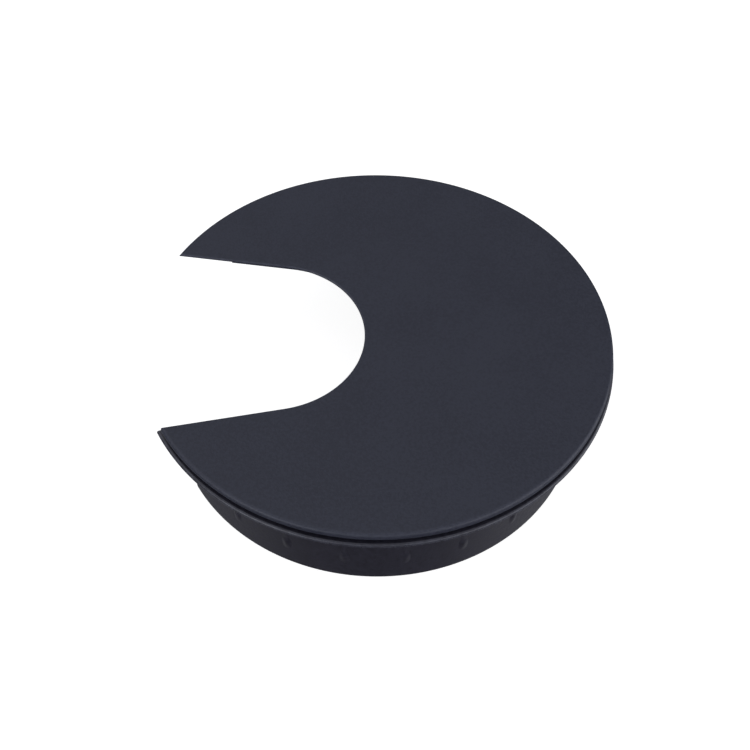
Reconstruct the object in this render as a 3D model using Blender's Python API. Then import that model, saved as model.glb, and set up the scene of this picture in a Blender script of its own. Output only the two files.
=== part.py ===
"""Desk grommet: a round plastic cable outlet for an 80 mm hole in a desk top.

It has two mouldings. The liner drops into the hole and hangs on its flange. The cover
snaps into the liner and turns on it, so its cable slot can point any way.

Metres, +Z up. The origin is on the axis that the cover turns about, level with the desk's
surface, which is the underside of the liner's flange. -Y faces the user. Angles of the
cover and the liner are measured from the middle of their own opening, which points along
their own -X.
"""

import math

import bmesh
import bpy
from mathutils import Matrix, Vector

CIRCLE_STEPS = 144
SLOT_STEPS = 48
ROUND_STEPS = 4
SHARP_ANGLE = math.radians(30)

# Cover plate
COVER_RADIUS = 0.0444
COVER_TOP = 0.0032
COVER_THICKNESS = 0.0022
COVER_TOP_ROUND = 0.0007
COVER_LOWER_ROUND = 0.0012
COVER_TURN = math.radians(1.8)

# Cable slot: a round end, and two straight sides that run on from it and widen towards the rim
SLOT_END_RADIUS = 0.0178
SLOT_END_FROM_AXIS = 0.0201
SLOT_FLARE = math.radians(9.9)
SLOT_EDGE_ROUND = 0.00025
SLOT_LAND = 0.00020
SLOT_CUT_REACH = 0.0580

# Walls under the cover: a spigot that centres it, and a low rib that stiffens the slot
SPIGOT_RADIUS = 0.03725
SPIGOT_WALL = 0.0014
SPIGOT_BOTTOM = -0.0060
SPIGOT_END = math.radians(49)
LOW_WALL_BOTTOM = -0.0007
LOW_WALL_END = math.radians(40)
LOW_WALL_INSET = 0.00014
SLOT_RIB_OFFSET = 0.0030
SLOT_RIB_WALL = 0.0012
ROOT = 0.0003

# Snap hooks on the spigot
HOOK_COUNT = 6
HOOK_PITCH = math.radians(44)
HOOK_HALF_WIDTH = math.radians(6.5)
HOOK_REACH = 0.0007
HOOK_TOP = -0.0037
HOOK_NOSE = -0.0043
HOOK_BOTTOM = -0.0058
SLIT_WIDTH = 0.0012
SLIT_DEPTH = 0.0056
SLIT_TOP = -0.0004

# Liner
FLANGE_RADIUS = 0.0448
FLANGE_THICKNESS = 0.0007
FLANGE_ROUND = 0.0005
COLLAR_RADIUS = 0.0399
COLLAR_WALL = 0.0016
COLLAR_BOTTOM = -0.0188
COLLAR_CHAMFER = 0.0005
LINER_TURN = math.radians(-19.85)
COLLAR_END = math.radians(50.85)
FLANGE_END_AT_RIM = math.radians(48.5)
FLANGE_END_SLANT = math.radians(32)
FLANGE_END_DEPTH = 0.0003
COLLAR_END_ROOT = 0.0002
SWEEP_END = math.radians(47.3)
END_CUT_LENGTH = 0.0200
END_CUT_WIDTH = 0.0100

# Bead inside the collar, which the hooks catch under
BEAD_HEIGHT = 0.0006
BEAD_TOP = -0.0020
BEAD_BOTTOM = -0.0034
BEAD_SLOPE = 0.0003

# Crush ribs outside the collar, which grip the hole. Each ends in a nib at its lower end, where
# the rib has its full width and height. Above the nib and at its tip it is slimmer by a scale.
CRUSH_RIB_COUNT = 15
CRUSH_RIB_PITCH = math.radians(15.6)
CRUSH_RIB_ROOT = 0.0006
CRUSH_RIB_STEPS = 8
SLIM_SCALE = 0.66
NIB_HALF_WIDTH = 0.0010
NIB_HEIGHT = 0.0005
NIB_MIDDLE = -0.0112
NIB_RISE = 0.0008
NIB_TAPER = 0.0013
NIB_SHOULDER_SCALE = 0.85
NIB_TIP_SCALE = 0.1

PLASTIC_COLOUR = (0.035, 0.037, 0.048, 1.0)
PLASTIC_ROUGHNESS = 0.55

COVER_UNDERSIDE = COVER_TOP - COVER_THICKNESS
CUT_CLEARANCE = 0.0010


def clear_scene():
    for thing in list(bpy.data.objects):
        bpy.data.objects.remove(thing, do_unlink=True)


def plastic(name):
    material = bpy.data.materials.new(name)
    material.use_nodes = True
    shader = material.node_tree.nodes["Principled BSDF"]
    shader.inputs["Base Color"].default_value = PLASTIC_COLOUR
    shader.inputs["Roughness"].default_value = PLASTIC_ROUGHNESS
    shader.inputs["Metallic"].default_value = 0.0
    return material


def object_from_bmesh(name, bm, parent=None, is_tool=False):
    bmesh.ops.recalc_face_normals(bm, faces=bm.faces)
    mesh = bpy.data.meshes.new(name)
    bm.to_mesh(mesh)
    bm.free()
    mesh.shade_smooth()
    mesh.set_sharp_from_angle(angle=SHARP_ANGLE)
    thing = bpy.data.objects.new(name, mesh)
    thing.parent = parent
    thing.hide_render = is_tool
    if is_tool:
        thing.display_type = "WIRE"
    bpy.context.collection.objects.link(thing)
    return thing


def boolean(target, tool, operation):
    modifier = target.modifiers.new(tool.name, "BOOLEAN")
    modifier.solver = "EXACT"
    modifier.operation = operation
    modifier.object = tool


def loft(bm, rings):
    """Skin rings that have equal numbers of points, and cap both ends."""
    rows = [[bm.verts.new(point) for point in ring] for ring in rings]
    bm.faces.new(rows[0])
    bm.faces.new(rows[-1])
    for lower, upper in zip(rows, rows[1:]):
        for i in range(len(lower)):
            j = (i + 1) % len(lower)
            bm.faces.new((lower[i], lower[j], upper[j], upper[i]))


def sweep_profile(bm, profile, start, end):
    """Sweep a closed outline of (radius, z) points about Z, from one angle to another."""
    steps = max(1, round((end - start) / math.tau * CIRCLE_STEPS))
    rings = []
    for k in range(steps + 1):
        angle = start + (end - start) * k / steps
        x, y = math.cos(angle), math.sin(angle)
        rings.append([(r * x, r * y, z) for r, z in profile])
    loft(bm, rings)


def quarter_round(radius, height, size, first, last):
    """Points of a rounded corner whose centre is at (radius, height)."""
    points = []
    for k in range(ROUND_STEPS + 1):
        angle = math.radians(first + (last - first) * k / ROUND_STEPS)
        points.append((radius + size * math.cos(angle), height + size * math.sin(angle)))
    return points


def slot_side_point(grow, reach):
    """Point at a distance from the axis on the slot's +Y side, which is moved out by grow."""
    off = SLOT_END_RADIUS + grow
    foot_x = -SLOT_END_FROM_AXIS + off * math.sin(SLOT_FLARE)
    foot_y = off * math.cos(SLOT_FLARE)
    along_x, along_y = -math.cos(SLOT_FLARE), math.sin(SLOT_FLARE)
    half_b = foot_x * along_x + foot_y * along_y
    c = foot_x**2 + foot_y**2 - reach**2
    run = -half_b + math.sqrt(half_b**2 - c)
    return foot_x + run * along_x, foot_y + run * along_y


def slot_outline(grow, reach):
    """Outline of the slot moved out by grow, from its -Y mouth corner to its +Y one."""
    radius = SLOT_END_RADIUS + grow
    half_turn = math.pi / 2 - SLOT_FLARE
    points = []
    for k in range(SLOT_STEPS + 1):
        angle = half_turn * (2 * k / SLOT_STEPS - 1)
        points.append((-SLOT_END_FROM_AXIS + radius * math.cos(angle), radius * math.sin(angle)))
    x, y = slot_side_point(grow, reach)
    return [(x, -y), *points, (x, y)]


def plate_mesh():
    top_centre = COVER_RADIUS - COVER_TOP_ROUND, COVER_TOP - COVER_TOP_ROUND
    low_centre = COVER_RADIUS - COVER_LOWER_ROUND, COVER_UNDERSIDE + COVER_LOWER_ROUND
    edge = quarter_round(*low_centre, COVER_LOWER_ROUND, -90, 0)
    edge += quarter_round(*top_centre, COVER_TOP_ROUND, 0, 90)
    rings = []
    for r, z in edge:
        angles = [math.tau * k / CIRCLE_STEPS for k in range(CIRCLE_STEPS)]
        rings.append([(r * math.cos(a), r * math.sin(a), z) for a in angles])
    bm = bmesh.new()
    loft(bm, rings)
    return bm


def slot_cutter_mesh():
    """The slot has a rounded upper edge, a narrow land and a 45 degree slope under it."""
    land_top = COVER_TOP - SLOT_EDGE_ROUND
    land_bottom = land_top - SLOT_LAND
    slope_bottom = COVER_UNDERSIDE - CUT_CLEARANCE
    levels = [(slope_bottom, land_bottom - slope_bottom), (land_bottom, 0.0)]
    for k in range(ROUND_STEPS + 1):
        angle = math.pi / 2 * k / ROUND_STEPS
        grow = SLOT_EDGE_ROUND * (1 - math.cos(angle))
        levels.append((land_top + SLOT_EDGE_ROUND * math.sin(angle), grow))
    levels.append((COVER_TOP + CUT_CLEARANCE, SLOT_EDGE_ROUND))
    bm = bmesh.new()
    loft(bm, [[(x, y, z) for x, y in slot_outline(grow, SLOT_CUT_REACH)] for z, grow in levels])
    return bm


def slot_rib_mesh():
    reach = SPIGOT_RADIUS - SPIGOT_WALL / 2
    outer = slot_outline(SLOT_RIB_OFFSET + SLOT_RIB_WALL, reach)
    inner = slot_outline(SLOT_RIB_OFFSET, reach)
    band = outer + inner[::-1]
    bm = bmesh.new()
    loft(bm, [[(x, y, z) for x, y in band] for z in (LOW_WALL_BOTTOM, COVER_UNDERSIDE + ROOT)])
    return bm


def wall_mesh(outer, inner, bottom, end):
    """An upright wall round the axis that stops short of the opening on both sides."""
    top = COVER_UNDERSIDE + ROOT
    bm = bmesh.new()
    profile = [(inner, bottom), (outer, bottom), (outer, top), (inner, top)]
    sweep_profile(bm, profile, end - math.pi, math.pi - end)
    return bm


def hook_angles():
    return [HOOK_PITCH * (k - (HOOK_COUNT - 1) / 2) for k in range(HOOK_COUNT)]


def hooks_mesh():
    root = SPIGOT_RADIUS - ROOT
    tip = SPIGOT_RADIUS + HOOK_REACH
    profile = [(root, HOOK_BOTTOM), (SPIGOT_RADIUS, HOOK_BOTTOM), (tip, HOOK_NOSE), (tip, HOOK_TOP)]
    profile.append((root, HOOK_TOP))
    bm = bmesh.new()
    for angle in hook_angles():
        sweep_profile(bm, profile, angle - HOOK_HALF_WIDTH, angle + HOOK_HALF_WIDTH)
    return bm


def add_box(bm, size, placement):
    """A box with its centre at the placement's origin."""
    bmesh.ops.create_cube(bm, size=1.0, matrix=placement @ Matrix.Diagonal((*size, 1.0)))


def slits_mesh():
    """Slits on both sides of each hook let it bend inwards as the cover is pressed in."""
    bottom = SPIGOT_BOTTOM - CUT_CLEARANCE
    size = (SLIT_DEPTH, SLIT_WIDTH, SLIT_TOP - bottom)
    middle = Matrix.Translation((SPIGOT_RADIUS, 0, (SLIT_TOP + bottom) / 2))
    aside = HOOK_HALF_WIDTH + SLIT_WIDTH / SPIGOT_RADIUS
    bm = bmesh.new()
    for angle in hook_angles():
        for side in (-1, 1):
            add_box(bm, size, Matrix.Rotation(angle + side * aside, 4, "Z") @ middle)
    return bm


def build_cover():
    cover = object_from_bmesh("cover", plate_mesh())
    cover.rotation_euler.z = COVER_TURN
    cover.data.materials.append(plastic("cover_plastic"))
    outer, inner = SPIGOT_RADIUS, SPIGOT_RADIUS - SPIGOT_WALL
    low_outer, low_inner = outer - LOW_WALL_INSET, inner + LOW_WALL_INSET
    tools = [
        ("spigot", wall_mesh(outer, inner, SPIGOT_BOTTOM, SPIGOT_END), "UNION"),
        ("low_wall", wall_mesh(low_outer, low_inner, LOW_WALL_BOTTOM, LOW_WALL_END), "UNION"),
        ("slot_rib", slot_rib_mesh(), "UNION"),
        ("hooks", hooks_mesh(), "UNION"),
        ("slits", slits_mesh(), "DIFFERENCE"),
        ("slot_cutter", slot_cutter_mesh(), "DIFFERENCE"),
    ]
    for name, bm, operation in tools:
        boolean(cover, object_from_bmesh(name, bm, parent=cover, is_tool=True), operation)


def liner_mesh():
    inner = COLLAR_RADIUS - COLLAR_WALL
    bead = inner - BEAD_HEIGHT
    flange_top = FLANGE_THICKNESS
    rim_centre = FLANGE_RADIUS - FLANGE_ROUND, flange_top - FLANGE_ROUND
    profile = [
        (inner + COLLAR_CHAMFER, COLLAR_BOTTOM),
        (COLLAR_RADIUS - COLLAR_CHAMFER, COLLAR_BOTTOM),
        (COLLAR_RADIUS, COLLAR_BOTTOM + COLLAR_CHAMFER),
        (COLLAR_RADIUS, 0.0),
        (FLANGE_RADIUS, 0.0),
        *quarter_round(*rim_centre, FLANGE_ROUND, 0, 90),
        (inner + COLLAR_CHAMFER, flange_top),
        (inner, flange_top - COLLAR_CHAMFER),
        (inner, BEAD_TOP),
        (bead, BEAD_TOP - BEAD_SLOPE),
        (bead, BEAD_BOTTOM + BEAD_SLOPE),
        (inner, BEAD_BOTTOM),
        (inner, COLLAR_BOTTOM + COLLAR_CHAMFER),
    ]
    bm = bmesh.new()
    sweep_profile(bm, profile, SWEEP_END - math.pi, math.pi - SWEEP_END)
    return bm


def crush_ribs_mesh():
    """Upright half-round ribs, evenly spaced about the middle of the collar."""
    root = COLLAR_RADIUS - CRUSH_RIB_ROOT
    height = CRUSH_RIB_ROOT + NIB_HEIGHT
    levels = [
        (NIB_MIDDLE - NIB_TAPER, NIB_TIP_SCALE),
        (NIB_MIDDLE - NIB_TAPER / 2, NIB_SHOULDER_SCALE),
        (NIB_MIDDLE, 1.0),
        (NIB_MIDDLE + NIB_RISE, SLIM_SCALE),
        (ROOT, SLIM_SCALE),
    ]
    bm = bmesh.new()
    for k in range(CRUSH_RIB_COUNT):
        turn = Matrix.Rotation(CRUSH_RIB_PITCH * (k - (CRUSH_RIB_COUNT - 1) / 2), 4, "Z")
        rings = []
        for z, scale in levels:
            ring = []
            for j in range(CRUSH_RIB_STEPS + 1):
                angle = math.pi * (j / CRUSH_RIB_STEPS - 0.5)
                x = root + scale * height * math.cos(angle)
                y = scale * NIB_HALF_WIDTH * math.sin(angle)
                ring.append(turn @ Vector((x, y, z)))
            rings.append(ring)
        loft(bm, rings)
    return bm


def end_blocks(radius, end, slant, bottom, top):
    """Blocks that trim both ends of the mouth, inwards from an edge at the radius and the end angle.

    The slant is the direction of the trimmed face. Equal to the end angle, it makes the face radial.
    """
    bm = bmesh.new()
    for side in (-1, 1):
        corner = Matrix.Rotation(math.pi + side * end, 4, "Z") @ Vector((radius, 0, 0))
        turn = Matrix.Rotation(math.pi + side * slant, 4, "Z")
        aside = Matrix.Translation((0, -side * END_CUT_WIDTH / 2, (bottom + top) / 2))
        placement = Matrix.Translation(corner) @ turn @ aside
        add_box(bm, (END_CUT_LENGTH, END_CUT_WIDTH, top - bottom), placement)
    return bm


def build_liner():
    liner = object_from_bmesh("liner", liner_mesh())
    liner.rotation_euler.z = LINER_TURN
    liner.data.materials.append(plastic("liner_plastic"))
    flange_cut = FLANGE_RADIUS, FLANGE_END_AT_RIM, FLANGE_END_SLANT
    flange_levels = -FLANGE_END_DEPTH, FLANGE_THICKNESS + CUT_CLEARANCE
    collar_cut = COLLAR_RADIUS, COLLAR_END, COLLAR_END
    collar_levels = COLLAR_BOTTOM - CUT_CLEARANCE, -COLLAR_END_ROOT
    tools = [
        ("flange_ends", end_blocks(*flange_cut, *flange_levels), "DIFFERENCE"),
        ("collar_ends", end_blocks(*collar_cut, *collar_levels), "DIFFERENCE"),
        ("crush_ribs", crush_ribs_mesh(), "UNION"),
    ]
    for name, bm, operation in tools:
        boolean(liner, object_from_bmesh(name, bm, parent=liner, is_tool=True), operation)


clear_scene()
build_liner()
build_cover()
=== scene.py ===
import math

import bmesh
import bpy
from mathutils import Matrix, Vector


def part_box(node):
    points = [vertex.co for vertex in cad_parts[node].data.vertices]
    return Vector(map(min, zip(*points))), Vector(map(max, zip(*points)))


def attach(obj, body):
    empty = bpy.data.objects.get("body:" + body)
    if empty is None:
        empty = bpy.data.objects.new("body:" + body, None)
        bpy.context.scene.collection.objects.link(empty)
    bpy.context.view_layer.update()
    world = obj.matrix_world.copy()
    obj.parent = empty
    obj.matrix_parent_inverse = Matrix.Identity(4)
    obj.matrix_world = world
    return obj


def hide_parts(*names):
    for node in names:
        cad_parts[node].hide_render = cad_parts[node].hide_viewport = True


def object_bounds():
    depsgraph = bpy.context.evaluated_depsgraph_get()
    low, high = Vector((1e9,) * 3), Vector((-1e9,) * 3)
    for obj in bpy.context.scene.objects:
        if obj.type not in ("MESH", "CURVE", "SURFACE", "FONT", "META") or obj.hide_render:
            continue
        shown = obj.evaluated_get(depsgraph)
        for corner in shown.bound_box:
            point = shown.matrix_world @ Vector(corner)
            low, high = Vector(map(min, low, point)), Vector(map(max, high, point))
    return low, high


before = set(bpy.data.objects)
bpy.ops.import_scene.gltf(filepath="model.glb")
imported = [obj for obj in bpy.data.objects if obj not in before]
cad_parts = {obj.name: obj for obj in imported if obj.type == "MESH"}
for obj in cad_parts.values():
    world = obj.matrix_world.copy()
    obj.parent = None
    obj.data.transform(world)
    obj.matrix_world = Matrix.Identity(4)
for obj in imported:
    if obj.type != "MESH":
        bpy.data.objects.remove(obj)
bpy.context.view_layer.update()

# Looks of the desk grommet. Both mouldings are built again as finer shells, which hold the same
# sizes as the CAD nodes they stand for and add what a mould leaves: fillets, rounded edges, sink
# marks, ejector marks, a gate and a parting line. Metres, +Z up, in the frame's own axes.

# Fineness of the shells
CIRCLE_STEPS = 360
SLOT_STEPS = 120
ROUND_STEPS = 6
BEAD_STEPS = 12
DISC_STEPS = 48
SINK_RINGS = 10
SHARP_ANGLE = math.radians(32)
EDGE_ROUND = 0.00012
EDGE_SEGMENTS = 2
WELD = 0.000004

# Cover plate, from the frame
COVER_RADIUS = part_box("cover")[1].x
COVER_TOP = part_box("cover")[1].z
COVER_THICKNESS = 0.0022
COVER_UNDERSIDE = COVER_TOP - COVER_THICKNESS
COVER_TOP_ROUND = 0.0007
COVER_LOWER_ROUND = 0.0012
COVER_TURN = math.radians(1.8)

# Cable slot
SLOT_END_RADIUS = 0.0178
SLOT_END_FROM_AXIS = 0.0201
SLOT_FLARE = math.radians(9.9)
SLOT_EDGE_ROUND = 0.00025
SLOT_LAND = 0.00020
SLOT_CUT_REACH = 0.0580

# Walls under the cover
SPIGOT_RADIUS = 0.03725
SPIGOT_WALL = 0.0014
SPIGOT_BOTTOM = -0.0060
SPIGOT_END = math.radians(49)
LOW_WALL_BOTTOM = -0.0007
LOW_WALL_END = math.radians(40)
LOW_WALL_INSET = 0.00014
SLOT_RIB_OFFSET = 0.0030
SLOT_RIB_WALL = 0.0012
ROOT = 0.0003
FILLET = 0.0004

# Snap hooks
HOOK_COUNT = 6
HOOK_PITCH = math.radians(44)
HOOK_HALF_WIDTH = math.radians(6.5)
HOOK_REACH = 0.0007
HOOK_TOP = -0.0037
HOOK_NOSE = -0.0043
HOOK_BOTTOM = -0.0058
SLIT_WIDTH = 0.0012
SLIT_DEPTH = 0.0056
SLIT_TOP = -0.0004

# What the mould leaves on the cover
SINK_DEPTH = 0.00002
SINK_HALF_WIDTH = 0.0016
SINK_FADE = math.radians(6)
EJECTOR_RADIUS = 0.0019
EJECTOR_DEPTH = 0.00008
EJECTOR_RING = 0.0300
EJECTOR_ANGLES = [math.radians(a) for a in (-124, -74, -25, 25, 74, 124)]
GATE_PLACE = (0.0120, 0.0)
GATE_RECESS_RADIUS = 0.0024
GATE_RECESS_DEPTH = 0.00025
GATE_NUB_RADIUS = 0.0008

# Liner
LIP = 0.0004
FLANGE_RADIUS = COVER_RADIUS + LIP
FLANGE_THICKNESS = 0.0007
FLANGE_ROUND = 0.0005
COLLAR_RADIUS = 0.0399
COLLAR_WALL = 0.0016
COLLAR_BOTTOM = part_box("liner")[0].z
COLLAR_ROUND = 0.0005
LINER_TURN = math.radians(-19.85)
COLLAR_END = math.radians(50.85)
COLLAR_END_ROOT = 0.0002
FLANGE_END_AT_RIM = math.radians(48.5)
FLANGE_END_SLANT = math.radians(32)
FLANGE_END_DEPTH = 0.0003
SWEEP_END = math.radians(47.3)
END_CUT_LENGTH = 0.0200
END_CUT_WIDTH = 0.0100
BEAD_HEIGHT = 0.0006
BEAD_TOP = -0.0020
BEAD_BOTTOM = -0.0034

# Crush ribs, each with a nib at its lower end
CRUSH_RIB_COUNT = 15
CRUSH_RIB_PITCH = math.radians(15.6)
SLIM_SCALE = 0.28
NIB_HALF_WIDTH = 0.0012
NIB_HEIGHT = 0.00030
NIB_MIDDLE = -0.0118
NIB_RISE = 0.0015
NIB_TAPER = 0.0030
NIB_STEPS = 8
RIDGE_ROOT = 0.0006
RIDGE_SUNK = 0.00004
RIDGE_STEPS = 16

# Parting line of the liner's mould, between the middle rib and the next
PARTING_HALF_WIDTH = 0.00016
PARTING_HEIGHT = 0.00006
PARTING_STEPS = 6

CUT_CLEARANCE = 0.0010

# Edge wear and painted highlight (a lighter colour on edges): the bend (1/m) that counts as a full
# edge, and the levels between which hands stop reaching
WEAR_AND_SHEEN_CURVATURE = 1400.0
WEAR_AND_SHEEN_FROM = 0.25
WEAR_AND_SHEEN_FULL = 0.95
WEAR_AND_SHEEN_PATCH = 0.0015
WEAR_POLISH = 0.12
REACH_LOW = -0.0012
REACH_HIGH = -0.0004

# Plastic that both mouldings share
PLASTIC_IOR = 1.5
SPECULAR = 0.5
FINE_TO_GRAIN = 1.6
CELL_SHARE = 0.7
CELL_SMOOTHNESS = 0.6
FINE_IN_TONE = 0.7
FINE_IN_ROUGHNESS = 0.7

# Camera: a normal lens close above the front of the disc
LENS_MM = 57.6
SENSOR_MM = 36.0
CAMERA_ELEVATION = math.radians(51.23)
CAMERA_ROLL = math.radians(-0.47)
CAMERA_DISTANCE = 0.2263
DISC_ASIDE = 0.00036
DISC_ABOVE = 0.0080

# Studio: soft patches of light far away, each with its direction, half-angle and strength
STUDIO_TINT = (0.94, 0.95, 1.0, 1.0)
AMBIENT_LIGHT = 0.085
SOFT_LIGHTS = {
    "overhead": ((0.0, 0.0, 1.0), math.radians(45), 0.76),
    "behind": ((0.0, 0.7, 0.7), math.radians(45), 0.22),
    "behind_left": ((-0.7, 0.5, 0.6), math.radians(45), 0.42),
    "front": ((0.0, -1.0, 0.15), math.radians(30), 0.85),
    "front_left": ((-0.7, -0.7, 0.15), math.radians(30), 2.5),
    "front_right": ((0.7, -0.7, 0.15), math.radians(30), 2.15),
    "left": ((-0.87, 0.0, 0.5), math.radians(35), 0.64),
    "right": ((1.0, 0.0, 0.15), math.radians(35), 2.2),
    "low_left": ((-0.66, 0.1, -0.75), math.radians(40), 0.15),
    "low_right": ((0.66, 0.1, -0.75), math.radians(40), 0.22),
}

# Floor: a round sweep of paper, partly lit from within
FLOOR_GLOW = 0.90
FLOOR_GREY = 0.45
FLOOR_ROUGHNESS = 0.9
FLOOR_FLAT_RINGS = (0.02, 0.3, 1.6)
FLOOR_CURL = 1.2
FLOOR_HEIGHT = 3.0
FLOOR_CURL_STEPS = 16
FLOOR_STEPS = 96


def srgb(red, green, blue):
    """Linear colour of an 8-bit sRGB one."""
    channels = []
    for value in (red, green, blue):
        c = value / 255
        channels.append(c / 12.92 if c <= 0.04045 else ((c + 0.055) / 1.055) ** 2.4)
    return (*channels, 1.0)


# ---------------------------------------------------------------- mesh tools


def new_object(name, bm):
    bmesh.ops.recalc_face_normals(bm, faces=bm.faces)
    mesh = bpy.data.meshes.new(name)
    bm.to_mesh(mesh)
    bm.free()
    thing = bpy.data.objects.new(name, mesh)
    bpy.context.scene.collection.objects.link(thing)
    return thing


def loft(bm, rings):
    """Skin rings that have equal numbers of points, and cap both ends."""
    rows = [[bm.verts.new(point) for point in ring] for ring in rings]
    bm.faces.new(rows[0])
    bm.faces.new(rows[-1])
    for lower, upper in zip(rows, rows[1:]):
        for i in range(len(lower)):
            j = (i + 1) % len(lower)
            bm.faces.new((lower[i], lower[j], upper[j], upper[i]))


def sweep_profile(bm, profile, start, end):
    """Sweep a closed outline of (radius, z) points about Z, from one angle to another."""
    steps = max(1, round((end - start) / math.tau * CIRCLE_STEPS))
    rings = []
    for k in range(steps + 1):
        angle = start + (end - start) * k / steps
        x, y = math.cos(angle), math.sin(angle)
        rings.append([(r * x, r * y, z) for r, z in profile])
    loft(bm, rings)


def arc(radius, height, size, first, last):
    """Points of an arc about (radius, height), between two angles in degrees."""
    points = []
    for k in range(ROUND_STEPS + 1):
        angle = math.radians(first + (last - first) * k / ROUND_STEPS)
        points.append((radius + size * math.cos(angle), height + size * math.sin(angle)))
    return points


def ease(value):
    """0 up to 0, 1 from 1, and smooth between."""
    t = max(0.0, min(1.0, value))
    return t * t * (3 - 2 * t)


def settle(thing):
    """Replace an object's mesh by what its modifiers make of it."""
    graph = bpy.context.evaluated_depsgraph_get()
    mesh = bpy.data.meshes.new_from_object(thing.evaluated_get(graph))
    thing.modifiers.clear()
    thing.data = mesh


def combine(thing, tools):
    """Cut or join the tools in turn, then remove them."""
    for operation, bm in tools:
        tool = new_object(thing.name + "_tool", bm)
        modifier = thing.modifiers.new("combine", "BOOLEAN")
        modifier.solver = "EXACT"
        modifier.operation = operation
        modifier.object = tool
        settle(thing)
        bpy.data.objects.remove(tool)


def finish_edges(thing):
    """Weld slivers, round every edge that is still sharp, and shade the result."""
    bm = bmesh.new()
    bm.from_mesh(thing.data)
    bmesh.ops.remove_doubles(bm, verts=bm.verts, dist=WELD)
    bmesh.ops.dissolve_degenerate(bm, edges=bm.edges, dist=WELD)
    bm.to_mesh(thing.data)
    bm.free()
    bevel = thing.modifiers.new("edges", "BEVEL")
    bevel.width = EDGE_ROUND
    bevel.segments = EDGE_SEGMENTS
    bevel.limit_method = "ANGLE"
    bevel.angle_limit = SHARP_ANGLE
    bevel.miter_outer = "MITER_ARC"
    settle(thing)
    thing.data.shade_smooth()
    thing.data.set_sharp_from_angle(angle=SHARP_ANGLE)
    weighted = thing.modifiers.new("weighted", "WEIGHTED_NORMAL")
    weighted.keep_sharp = True
    settle(thing)


def mark_edge_wear_and_sheen(thing):
    """Store how strongly the surface bends outwards (+) or inwards (-) at each vertex."""
    bm = bmesh.new()
    bm.from_mesh(thing.data)
    bend = []
    for vertex in bm.verts:
        total = sum(e.calc_face_angle_signed(0.0) * e.calc_length() for e in vertex.link_edges)
        area = sum(face.calc_area() / len(face.verts) for face in vertex.link_faces)
        bend.append(total / (4 * area * WEAR_AND_SHEEN_CURVATURE) if area else 0.0)
    smooth = []
    for vertex in bm.verts:
        near = [bend[e.other_vert(vertex).index] for e in vertex.link_edges]
        smooth.append(max(-1.0, min(1.0, (bend[vertex.index] + sum(near)) / (1 + len(near)))))
    bm.free()
    # This bend masks the lighter edge colour of the material, partly wear and partly a painted
    # highlight.
    attribute = thing.data.attributes.new("edge_wear_and_sheen_mask", "FLOAT", "POINT")
    attribute.data.foreach_set("value", smooth)


# ---------------------------------------------------------------- the cover


def slot_side_point(grow, reach):
    """Point at a distance from the axis on the slot's +Y side, which is moved out by grow."""
    off = SLOT_END_RADIUS + grow
    foot_x = -SLOT_END_FROM_AXIS + off * math.sin(SLOT_FLARE)
    foot_y = off * math.cos(SLOT_FLARE)
    along_x, along_y = -math.cos(SLOT_FLARE), math.sin(SLOT_FLARE)
    half_b = foot_x * along_x + foot_y * along_y
    c = foot_x**2 + foot_y**2 - reach**2
    run = -half_b + math.sqrt(half_b**2 - c)
    return foot_x + run * along_x, foot_y + run * along_y


def slot_outline(grow, reach):
    """Outline of the slot moved out by grow, from its -Y mouth corner to its +Y one."""
    radius = SLOT_END_RADIUS + grow
    half_turn = math.pi / 2 - SLOT_FLARE
    points = []
    for k in range(SLOT_STEPS + 1):
        angle = half_turn * (2 * k / SLOT_STEPS - 1)
        points.append((-SLOT_END_FROM_AXIS + radius * math.cos(angle), radius * math.sin(angle)))
    x, y = slot_side_point(grow, reach)
    return [(x, -y), *points, (x, y)]


def sink(radius, angle):
    """How deep the top has sunk above the spigot, at a point given from the slot's own -X."""
    across = (radius - (SPIGOT_RADIUS - SPIGOT_WALL / 2)) / SINK_HALF_WIDTH
    along = (math.pi - abs(angle) - SPIGOT_END) / SINK_FADE
    return SINK_DEPTH * ease(1 - abs(across)) * ease(along)


def plate():
    """The disc, with a rounded rim and rings in its top that carry the sink mark."""
    low_centre = COVER_RADIUS - COVER_LOWER_ROUND, COVER_UNDERSIDE + COVER_LOWER_ROUND
    top_centre = COVER_RADIUS - COVER_TOP_ROUND, COVER_TOP - COVER_TOP_ROUND
    edge = arc(*low_centre, COVER_LOWER_ROUND, -90, 0) + arc(*top_centre, COVER_TOP_ROUND, 0, 90)
    middle = SPIGOT_RADIUS - SPIGOT_WALL / 2
    for k in range(SINK_RINGS + 1):
        edge.append((middle + SINK_HALF_WIDTH * (1 - 2 * k / SINK_RINGS), COVER_TOP))
    levels = []
    for radius, z in edge:
        ring = []
        for k in range(CIRCLE_STEPS):
            angle = math.tau * k / CIRCLE_STEPS - math.pi
            depth = sink(radius, angle) if z == COVER_TOP else 0.0
            ring.append((radius * math.cos(angle), radius * math.sin(angle), z - depth))
        levels.append(ring)
    bm = bmesh.new()
    loft(bm, levels)
    return bm


def slot_cutter():
    """The slot has a rounded upper edge, a narrow land and a 45 degree slope under it."""
    land_top = COVER_TOP - SLOT_EDGE_ROUND
    land_bottom = land_top - SLOT_LAND
    slope_bottom = COVER_UNDERSIDE - CUT_CLEARANCE
    levels = [(slope_bottom, land_bottom - slope_bottom), (land_bottom, 0.0)]
    for k in range(ROUND_STEPS + 1):
        angle = math.pi / 2 * k / ROUND_STEPS
        grow = SLOT_EDGE_ROUND * (1 - math.cos(angle))
        levels.append((land_top + SLOT_EDGE_ROUND * math.sin(angle), grow))
    levels.append((COVER_TOP + CUT_CLEARANCE, SLOT_EDGE_ROUND))
    bm = bmesh.new()
    loft(bm, [[(x, y, z) for x, y in slot_outline(grow, SLOT_CUT_REACH)] for z, grow in levels])
    return bm


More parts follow.
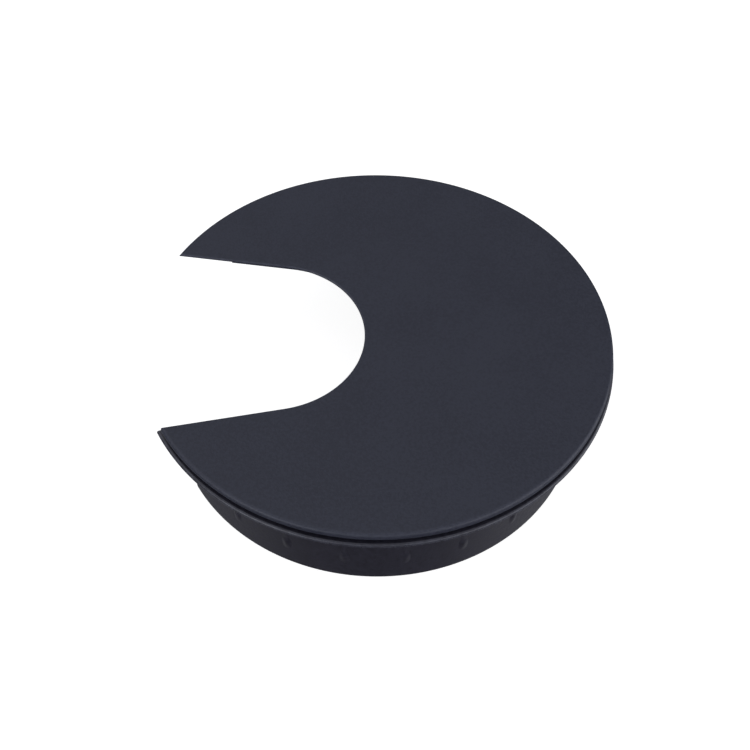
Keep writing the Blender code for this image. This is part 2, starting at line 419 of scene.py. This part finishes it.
def wall(outer, inner, bottom, end, fillet):
    """An upright wall round the axis, with a fillet where it meets the plate."""
    top = COVER_UNDERSIDE + ROOT
    inside = arc(inner - fillet, COVER_UNDERSIDE - fillet, fillet, 90, 0)
    outside = arc(outer + fillet, COVER_UNDERSIDE - fillet, fillet, 180, 90)
    profile = [(inner - fillet, top), *inside, (inner, bottom), (outer, bottom), *outside]
    profile.append((outer + fillet, top))
    bm = bmesh.new()
    sweep_profile(bm, profile, end - math.pi, math.pi - end)
    return bm


def slot_rib():
    reach = SPIGOT_RADIUS - SPIGOT_WALL / 2
    outer = slot_outline(SLOT_RIB_OFFSET + SLOT_RIB_WALL, reach)
    inner = slot_outline(SLOT_RIB_OFFSET, reach)
    band = outer + inner[::-1]
    bm = bmesh.new()
    loft(bm, [[(x, y, z) for x, y in band] for z in (LOW_WALL_BOTTOM, COVER_UNDERSIDE + ROOT)])
    return bm


def hook_angles():
    return [HOOK_PITCH * (k - (HOOK_COUNT - 1) / 2) for k in range(HOOK_COUNT)]


def hooks():
    root = SPIGOT_RADIUS - ROOT
    tip = SPIGOT_RADIUS + HOOK_REACH
    profile = [(root, HOOK_BOTTOM), (SPIGOT_RADIUS, HOOK_BOTTOM), (tip, HOOK_NOSE), (tip, HOOK_TOP)]
    profile.append((root, HOOK_TOP))
    bm = bmesh.new()
    for angle in hook_angles():
        sweep_profile(bm, profile, angle - HOOK_HALF_WIDTH, angle + HOOK_HALF_WIDTH)
    return bm


def slits():
    """Slits with a round upper end, on both sides of each hook."""
    half = SLIT_WIDTH / 2
    bottom = SPIGOT_BOTTOM - CUT_CLEARANCE
    outline = [(-half, bottom), (half, bottom), *arc(0, SLIT_TOP - half, half, 0, 180)]
    aside = HOOK_HALF_WIDTH + SLIT_WIDTH / SPIGOT_RADIUS
    bm = bmesh.new()
    for hook in hook_angles():
        for side in (-1, 1):
            turn = Matrix.Rotation(hook + side * aside, 4, "Z")
            rings = []
            for x in (SPIGOT_RADIUS - SLIT_DEPTH / 2, SPIGOT_RADIUS + SLIT_DEPTH / 2):
                rings.append([turn @ Vector((x, y, z)) for y, z in outline])
            loft(bm, rings)
    return bm


def discs(places, radius, bottom, top):
    """Short upright cylinders."""
    bm = bmesh.new()
    angles = [math.tau * k / DISC_STEPS for k in range(DISC_STEPS)]
    for x, y in places:
        rings = []
        for z in (bottom, top):
            rings.append([(x + radius * math.cos(a), y + radius * math.sin(a), z) for a in angles])
        loft(bm, rings)
    return bm


def cover_tools():
    outer, inner = SPIGOT_RADIUS, SPIGOT_RADIUS - SPIGOT_WALL
    low_outer, low_inner = outer - LOW_WALL_INSET, inner + LOW_WALL_INSET
    pins = [(EJECTOR_RING * math.cos(a), EJECTOR_RING * math.sin(a)) for a in EJECTOR_ANGLES]
    below = COVER_UNDERSIDE - CUT_CLEARANCE
    gate_roof = COVER_UNDERSIDE + GATE_RECESS_DEPTH
    return [
        ("UNION", wall(outer, inner, SPIGOT_BOTTOM, SPIGOT_END, FILLET)),
        ("UNION", wall(low_outer, low_inner, LOW_WALL_BOTTOM, LOW_WALL_END, FILLET / 2)),
        ("UNION", slot_rib()),
        ("UNION", hooks()),
        ("DIFFERENCE", slits()),
        ("DIFFERENCE", discs(pins, EJECTOR_RADIUS, below, COVER_UNDERSIDE + EJECTOR_DEPTH)),
        ("DIFFERENCE", discs([GATE_PLACE], GATE_RECESS_RADIUS, below, gate_roof)),
        ("UNION", discs([GATE_PLACE], GATE_NUB_RADIUS, COVER_UNDERSIDE, gate_roof + ROOT / 2)),
        ("DIFFERENCE", slot_cutter()),
    ]


def make_cover():
    cover = new_object("cover_shell", plate())
    combine(cover, cover_tools())
    cover.data.transform(Matrix.Rotation(COVER_TURN, 4, "Z"))
    finish_edges(cover)
    mark_edge_wear_and_sheen(cover)
    cover.data.materials.append(moulded_plastic("cover_plastic", COVER_LOOK))
    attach(cover, "cover")
    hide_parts("cover")


# ---------------------------------------------------------------- the liner


def liner_ring():
    inner = COLLAR_RADIUS - COLLAR_WALL
    bead = inner - BEAD_HEIGHT
    size = COLLAR_ROUND
    rim = FLANGE_RADIUS - FLANGE_ROUND, FLANGE_THICKNESS - FLANGE_ROUND
    profile = [
        *arc(inner + size, COLLAR_BOTTOM + size, size, 180, 270),
        *arc(COLLAR_RADIUS - size, COLLAR_BOTTOM + size, size, 270, 360),
        (COLLAR_RADIUS, 0.0),
        (FLANGE_RADIUS, 0.0),
        *arc(*rim, FLANGE_ROUND, 0, 90),
        *arc(inner + size, FLANGE_THICKNESS - size, size, 90, 180),
    ]
    for k in range(BEAD_STEPS + 1):
        z = BEAD_TOP + (BEAD_BOTTOM - BEAD_TOP) * k / BEAD_STEPS
        swell = ease(3 * min(k, BEAD_STEPS - k) / BEAD_STEPS)
        profile.append((inner + (bead - inner) * swell, z))
    bm = bmesh.new()
    sweep_profile(bm, profile, SWEEP_END - math.pi, math.pi - SWEEP_END)
    return bm


def end_blocks(radius, end, slant, bottom, top):
    """Blocks that trim both ends of the mouth, inwards from an edge at the radius and the end angle.

    The slant is the direction of the trimmed face. Equal to the end angle, it makes the face radial.
    """
    bm = bmesh.new()
    for side in (-1, 1):
        corner = Matrix.Rotation(math.pi + side * end, 4, "Z") @ Vector((radius, 0, 0))
        turn = Matrix.Rotation(math.pi + side * slant, 4, "Z")
        aside = Matrix.Translation((0, -side * END_CUT_WIDTH / 2, (bottom + top) / 2))
        size = Matrix.Diagonal((END_CUT_LENGTH, END_CUT_WIDTH, top - bottom, 1.0))
        bmesh.ops.create_cube(bm, size=1.0, matrix=Matrix.Translation(corner) @ turn @ aside @ size)
    return bm


def ridge(turn, levels, half_width, height, steps):
    """Rings of an upright ridge that swells out of the collar, one for each (z, scale)."""
    root = COLLAR_RADIUS - RIDGE_ROOT
    base = COLLAR_RADIUS - RIDGE_SUNK
    rings = []
    for z, scale in levels:
        ring = [(root, -half_width)]
        for j in range(steps + 1):
            part = 2 * j / steps - 1
            swell = (1 + math.cos(math.pi * part)) / 2
            ring.append((base + scale * (height + RIDGE_SUNK) * swell, half_width * part))
        ring.append((root, half_width))
        rings.append([turn @ Vector((x, y, z)) for x, y in ring])
    return rings


def crush_ribs():
    """Upright ribs about the middle of the collar, each swelling to a soft nib at its foot."""
    levels = []
    for k in range(NIB_STEPS):
        part = k / NIB_STEPS
        levels.append((NIB_MIDDLE - NIB_TAPER * (1 - part), ease(part)))
    for k in range(NIB_STEPS + 1):
        part = k / NIB_STEPS
        levels.append((NIB_MIDDLE + NIB_RISE * part, 1 - (1 - SLIM_SCALE) * ease(part)))
    levels.append((ROOT, SLIM_SCALE))
    bm = bmesh.new()
    for k in range(CRUSH_RIB_COUNT):
        turn = Matrix.Rotation(CRUSH_RIB_PITCH * (k - (CRUSH_RIB_COUNT - 1) / 2), 4, "Z")
        loft(bm, ridge(turn, levels, NIB_HALF_WIDTH, NIB_HEIGHT, RIDGE_STEPS))
    return bm


def parting_line():
    levels = [(COLLAR_BOTTOM + COLLAR_ROUND, 1.0), (ROOT, 1.0)]
    turn = Matrix.Rotation(CRUSH_RIB_PITCH / 2, 4, "Z")
    bm = bmesh.new()
    loft(bm, ridge(turn, levels, PARTING_HALF_WIDTH, PARTING_HEIGHT, PARTING_STEPS))
    return bm


def liner_tools():
    flange_levels = -FLANGE_END_DEPTH, FLANGE_THICKNESS + CUT_CLEARANCE
    collar_levels = COLLAR_BOTTOM - CUT_CLEARANCE, -COLLAR_END_ROOT
    flange_cut = FLANGE_RADIUS, FLANGE_END_AT_RIM, FLANGE_END_SLANT
    return [
        ("DIFFERENCE", end_blocks(*flange_cut, *flange_levels)),
        ("DIFFERENCE", end_blocks(COLLAR_RADIUS, COLLAR_END, COLLAR_END, *collar_levels)),
        ("UNION", crush_ribs()),
        ("UNION", parting_line()),
    ]


def make_liner():
    liner = new_object("liner_shell", liner_ring())
    combine(liner, liner_tools())
    liner.data.transform(Matrix.Rotation(LINER_TURN, 4, "Z"))
    finish_edges(liner)
    mark_edge_wear_and_sheen(liner)
    liner.data.materials.append(moulded_plastic("liner_plastic", LINER_LOOK))
    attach(liner, "liner")
    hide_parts("liner")


# ---------------------------------------------------------------- materials

# Each look: darker and lighter colour, colour of worn edges (partly wear, partly a painted
# highlight), smooth and rough limits of the roughness, size of the grain and of the cloudy patches
# in metres, height of the grain, how much the patches are squeezed along Z (below 1 draws them out
# upright), and how far the wear and painted highlight show.
COVER_LOOK = {
    "dark": srgb(36, 39, 54),
    "light": srgb(48, 51, 65),
    "worn_and_sheen": srgb(66, 69, 84),
    "smooth": 0.46,
    "rough": 0.62,
    "grain": 0.00032,
    "cloud": 0.014,
    "height": 0.000032,
    "streak": 1.0,
    "wear_and_sheen": 0.5,
}
LINER_LOOK = {
    "dark": srgb(33, 32, 42),
    "light": srgb(42, 41, 52),
    # The liner's lighter and stronger edge colour also paints a highlight along its lip.
    "worn_and_sheen": srgb(76, 78, 89),
    "smooth": 0.32,
    "rough": 0.44,
    "grain": 0.00045,
    "cloud": 0.010,
    "height": 0.000014,
    "streak": 0.12,
    "wear_and_sheen": 0.8,
}


class Nodes:
    """Short calls for building one material's node tree."""

    def __init__(self, tree):
        self.tree = tree

    def add(self, kind, settings=None, **inputs):
        node = self.tree.nodes.new(kind)
        for key, value in (settings or {}).items():
            setattr(node, key, value)
        for key, value in inputs.items():
            self.feed(node.inputs[key.replace("_", " ")], value)
        return node

    def feed(self, socket, value):
        """Link another node's output to a socket, or set a constant on it."""
        if isinstance(value, bpy.types.NodeSocket):
            self.tree.links.new(value, socket)
        else:
            socket.default_value = value

    def noise(self, vector, size, detail=3.0, roughness=0.5):
        made = self.add("ShaderNodeTexNoise", Vector=vector, Scale=1 / size, Detail=detail)
        made.inputs["Roughness"].default_value = roughness
        return made.outputs["Fac"]

    def spread(self, value, low, high, to_low=0.0, to_high=1.0):
        made = self.add("ShaderNodeMapRange", {"interpolation_type": "SMOOTHSTEP"}, Value=value)
        ends = {"From Min": low, "From Max": high, "To Min": to_low, "To Max": to_high}
        for key, end in ends.items():
            made.inputs[key].default_value = end
        return made.outputs["Result"]

    def math(self, operation, first, second):
        made = self.add("ShaderNodeMath", {"operation": operation})
        self.feed(made.inputs[0], first)
        self.feed(made.inputs[1], second)
        return made.outputs[0]

    def blend(self, first, second, share):
        """Weighted sum of two values, of which the share belongs to the second."""
        kept = self.math("MULTIPLY", first, 1 - share)
        return self.math("ADD", kept, self.math("MULTIPLY", second, share))

    def mix(self, factor, first, second):
        """Mix of two colours. The mix node's colour sockets are its inputs 6 and 7, and output 2."""
        made = self.add("ShaderNodeMix", {"data_type": "RGBA"})
        self.feed(made.inputs[0], factor)
        self.feed(made.inputs[6], first)
        self.feed(made.inputs[7], second)
        return made.outputs[2]


def moulded_plastic(name, look):
    """Matte moulded plastic: cloudy colour, fine grain, and edges that handling has polished,
    lighter in colour partly as wear and partly as a painted highlight.
    """
    material = bpy.data.materials.new(name)
    material.use_nodes = True
    nodes = Nodes(material.node_tree)
    place = nodes.add("ShaderNodeTexCoord").outputs["Object"]
    wear_and_sheen = nodes.add("ShaderNodeAttribute", {"attribute_name": "edge_wear_and_sheen_mask"}).outputs["Fac"]

    stretched = nodes.add("ShaderNodeMapping", Vector=place, Scale=(1.0, 1.0, look["streak"]))
    cloud = nodes.noise(stretched.outputs["Vector"], look["cloud"], detail=4.0)
    fine = nodes.noise(place, look["grain"] * FINE_TO_GRAIN, detail=2.0, roughness=0.6)
    cells = nodes.add("ShaderNodeTexVoronoi", {"feature": "SMOOTH_F1"}, Vector=place)
    cells.inputs["Scale"].default_value = 1 / look["grain"]
    cells.inputs["Smoothness"].default_value = CELL_SMOOTHNESS
    grain = nodes.math("ADD", nodes.math("MULTIPLY", cells.outputs["Distance"], CELL_SHARE), fine)

    patchy = nodes.spread(nodes.noise(place, WEAR_AND_SHEEN_PATCH, detail=4.0), 0.35, 0.6, 0.35, 1.0)
    level = nodes.add("ShaderNodeSeparateXYZ", Vector=place).outputs["Z"]
    wear_and_sheen_reach = nodes.math("MULTIPLY", patchy, nodes.spread(level, REACH_LOW, REACH_HIGH))
    edge = nodes.math("MULTIPLY", nodes.spread(wear_and_sheen, WEAR_AND_SHEEN_FROM, WEAR_AND_SHEEN_FULL), wear_and_sheen_reach)

    tone = nodes.spread(nodes.blend(cloud, fine, FINE_IN_TONE), 0.38, 0.62)
    colour = nodes.mix(tone, look["dark"], look["light"])
    # Convex edges within reach get a lighter colour: partly handling wear, partly a painted
    # highlight on the rims and on the liner's lip.
    worn_and_sheen = nodes.mix(nodes.math("MULTIPLY", edge, look["wear_and_sheen"]), colour, look["worn_and_sheen"])
    mottle = nodes.blend(cloud, fine, FINE_IN_ROUGHNESS)
    base = nodes.spread(mottle, 0.35, 0.65, look["smooth"], look["rough"])
    rough = nodes.math("SUBTRACT", base, nodes.math("MULTIPLY", edge, WEAR_POLISH))
    bump = nodes.add("ShaderNodeBump", Height=grain, Distance=look["height"], Strength=1.0)

    shader = material.node_tree.nodes["Principled BSDF"]
    nodes.feed(shader.inputs["Base Color"], worn_and_sheen)
    nodes.feed(shader.inputs["Roughness"], rough)
    nodes.feed(shader.inputs["Normal"], bump.outputs["Normal"])
    shader.inputs["IOR"].default_value = PLASTIC_IOR
    shader.inputs["Specular IOR Level"].default_value = SPECULAR
    return material


# ---------------------------------------------------------------- studio


def make_camera():
    target = Vector((0, 0, COVER_TOP))
    right = Vector((1, 0, 0))
    up = Vector((0, math.sin(CAMERA_ELEVATION), math.cos(CAMERA_ELEVATION)))
    back = right.cross(up)
    roll = Matrix.Rotation(CAMERA_ROLL, 3, back)
    right, up = roll.inverted() @ right, roll.inverted() @ up
    data = bpy.data.cameras.new("camera")
    data.lens = LENS_MM
    data.sensor_width = SENSOR_MM
    data.clip_start = 0.01
    data.clip_end = 10
    camera = bpy.data.objects.new("camera", data)
    place = target - DISC_ASIDE * right - DISC_ABOVE * up + CAMERA_DISTANCE * back
    camera.matrix_world = Matrix.Translation(place) @ Matrix((right, up, back)).transposed().to_4x4()
    bpy.context.scene.collection.objects.link(camera)
    bpy.context.scene.camera = camera


def make_floor():
    """A round white sweep of paper: flat under the object, and curling up far behind it."""
    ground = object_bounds()[0].z
    flat = FLOOR_FLAT_RINGS[-1]
    profile = [(radius, 0.0) for radius in FLOOR_FLAT_RINGS]
    for k in range(1, FLOOR_CURL_STEPS + 1):
        angle = math.pi / 2 * k / FLOOR_CURL_STEPS
        profile.append((flat + FLOOR_CURL * math.sin(angle), FLOOR_CURL * (1 - math.cos(angle))))
    profile.append((flat + FLOOR_CURL, FLOOR_HEIGHT))
    turns = [math.tau * k / FLOOR_STEPS for k in range(FLOOR_STEPS)]
    bm = bmesh.new()
    rows = []
    for radius, z in profile:
        ring = [(radius * math.cos(turn), radius * math.sin(turn), ground + z) for turn in turns]
        rows.append([bm.verts.new(point) for point in ring])
    bm.faces.new(rows[0])
    for inner, outer in zip(rows, rows[1:]):
        for i in range(FLOOR_STEPS):
            j = (i + 1) % FLOOR_STEPS
            bm.faces.new((inner[i], outer[i], outer[j], inner[j]))
    floor = new_object("floor", bm)
    floor.data.shade_smooth()
    material = bpy.data.materials.new("floor_paper")
    material.use_nodes = True
    shader = material.node_tree.nodes["Principled BSDF"]
    shader.inputs["Base Color"].default_value = (FLOOR_GREY, FLOOR_GREY, FLOOR_GREY, 1)
    shader.inputs["Roughness"].default_value = FLOOR_ROUGHNESS
    shader.inputs["Specular IOR Level"].default_value = 0.0
    shader.inputs["Emission Color"].default_value = (1, 1, 1, 1)
    shader.inputs["Emission Strength"].default_value = FLOOR_GLOW
    floor.data.materials.append(material)
    floor.visible_diffuse = False
    floor.visible_glossy = False
    floor.visible_shadow = False


def make_world():
    """The soft lights, as patches of the sky that fade out towards their edges."""
    world = bpy.data.worlds.new("studio")
    world.use_nodes = True
    nodes = Nodes(world.node_tree)
    view = nodes.add("ShaderNodeTexCoord").outputs["Generated"]
    light = AMBIENT_LIGHT
    for direction, half_angle, strength in SOFT_LIGHTS.values():
        facing = nodes.add("ShaderNodeVectorMath", {"operation": "DOT_PRODUCT"})
        nodes.feed(facing.inputs[0], view)
        nodes.feed(facing.inputs[1], Vector(direction).normalized())
        patch = nodes.spread(facing.outputs["Value"], math.cos(half_angle), 1.0, 0.0, strength)
        light = nodes.math("ADD", patch, light)
    background = world.node_tree.nodes["Background"]
    nodes.feed(background.inputs["Color"], STUDIO_TINT)
    nodes.feed(background.inputs["Strength"], light)
    bpy.context.scene.world = world


bpy.context.scene.view_settings.view_transform = "Standard"
make_camera()
make_floor()
make_world()
make_liner()
make_cover()
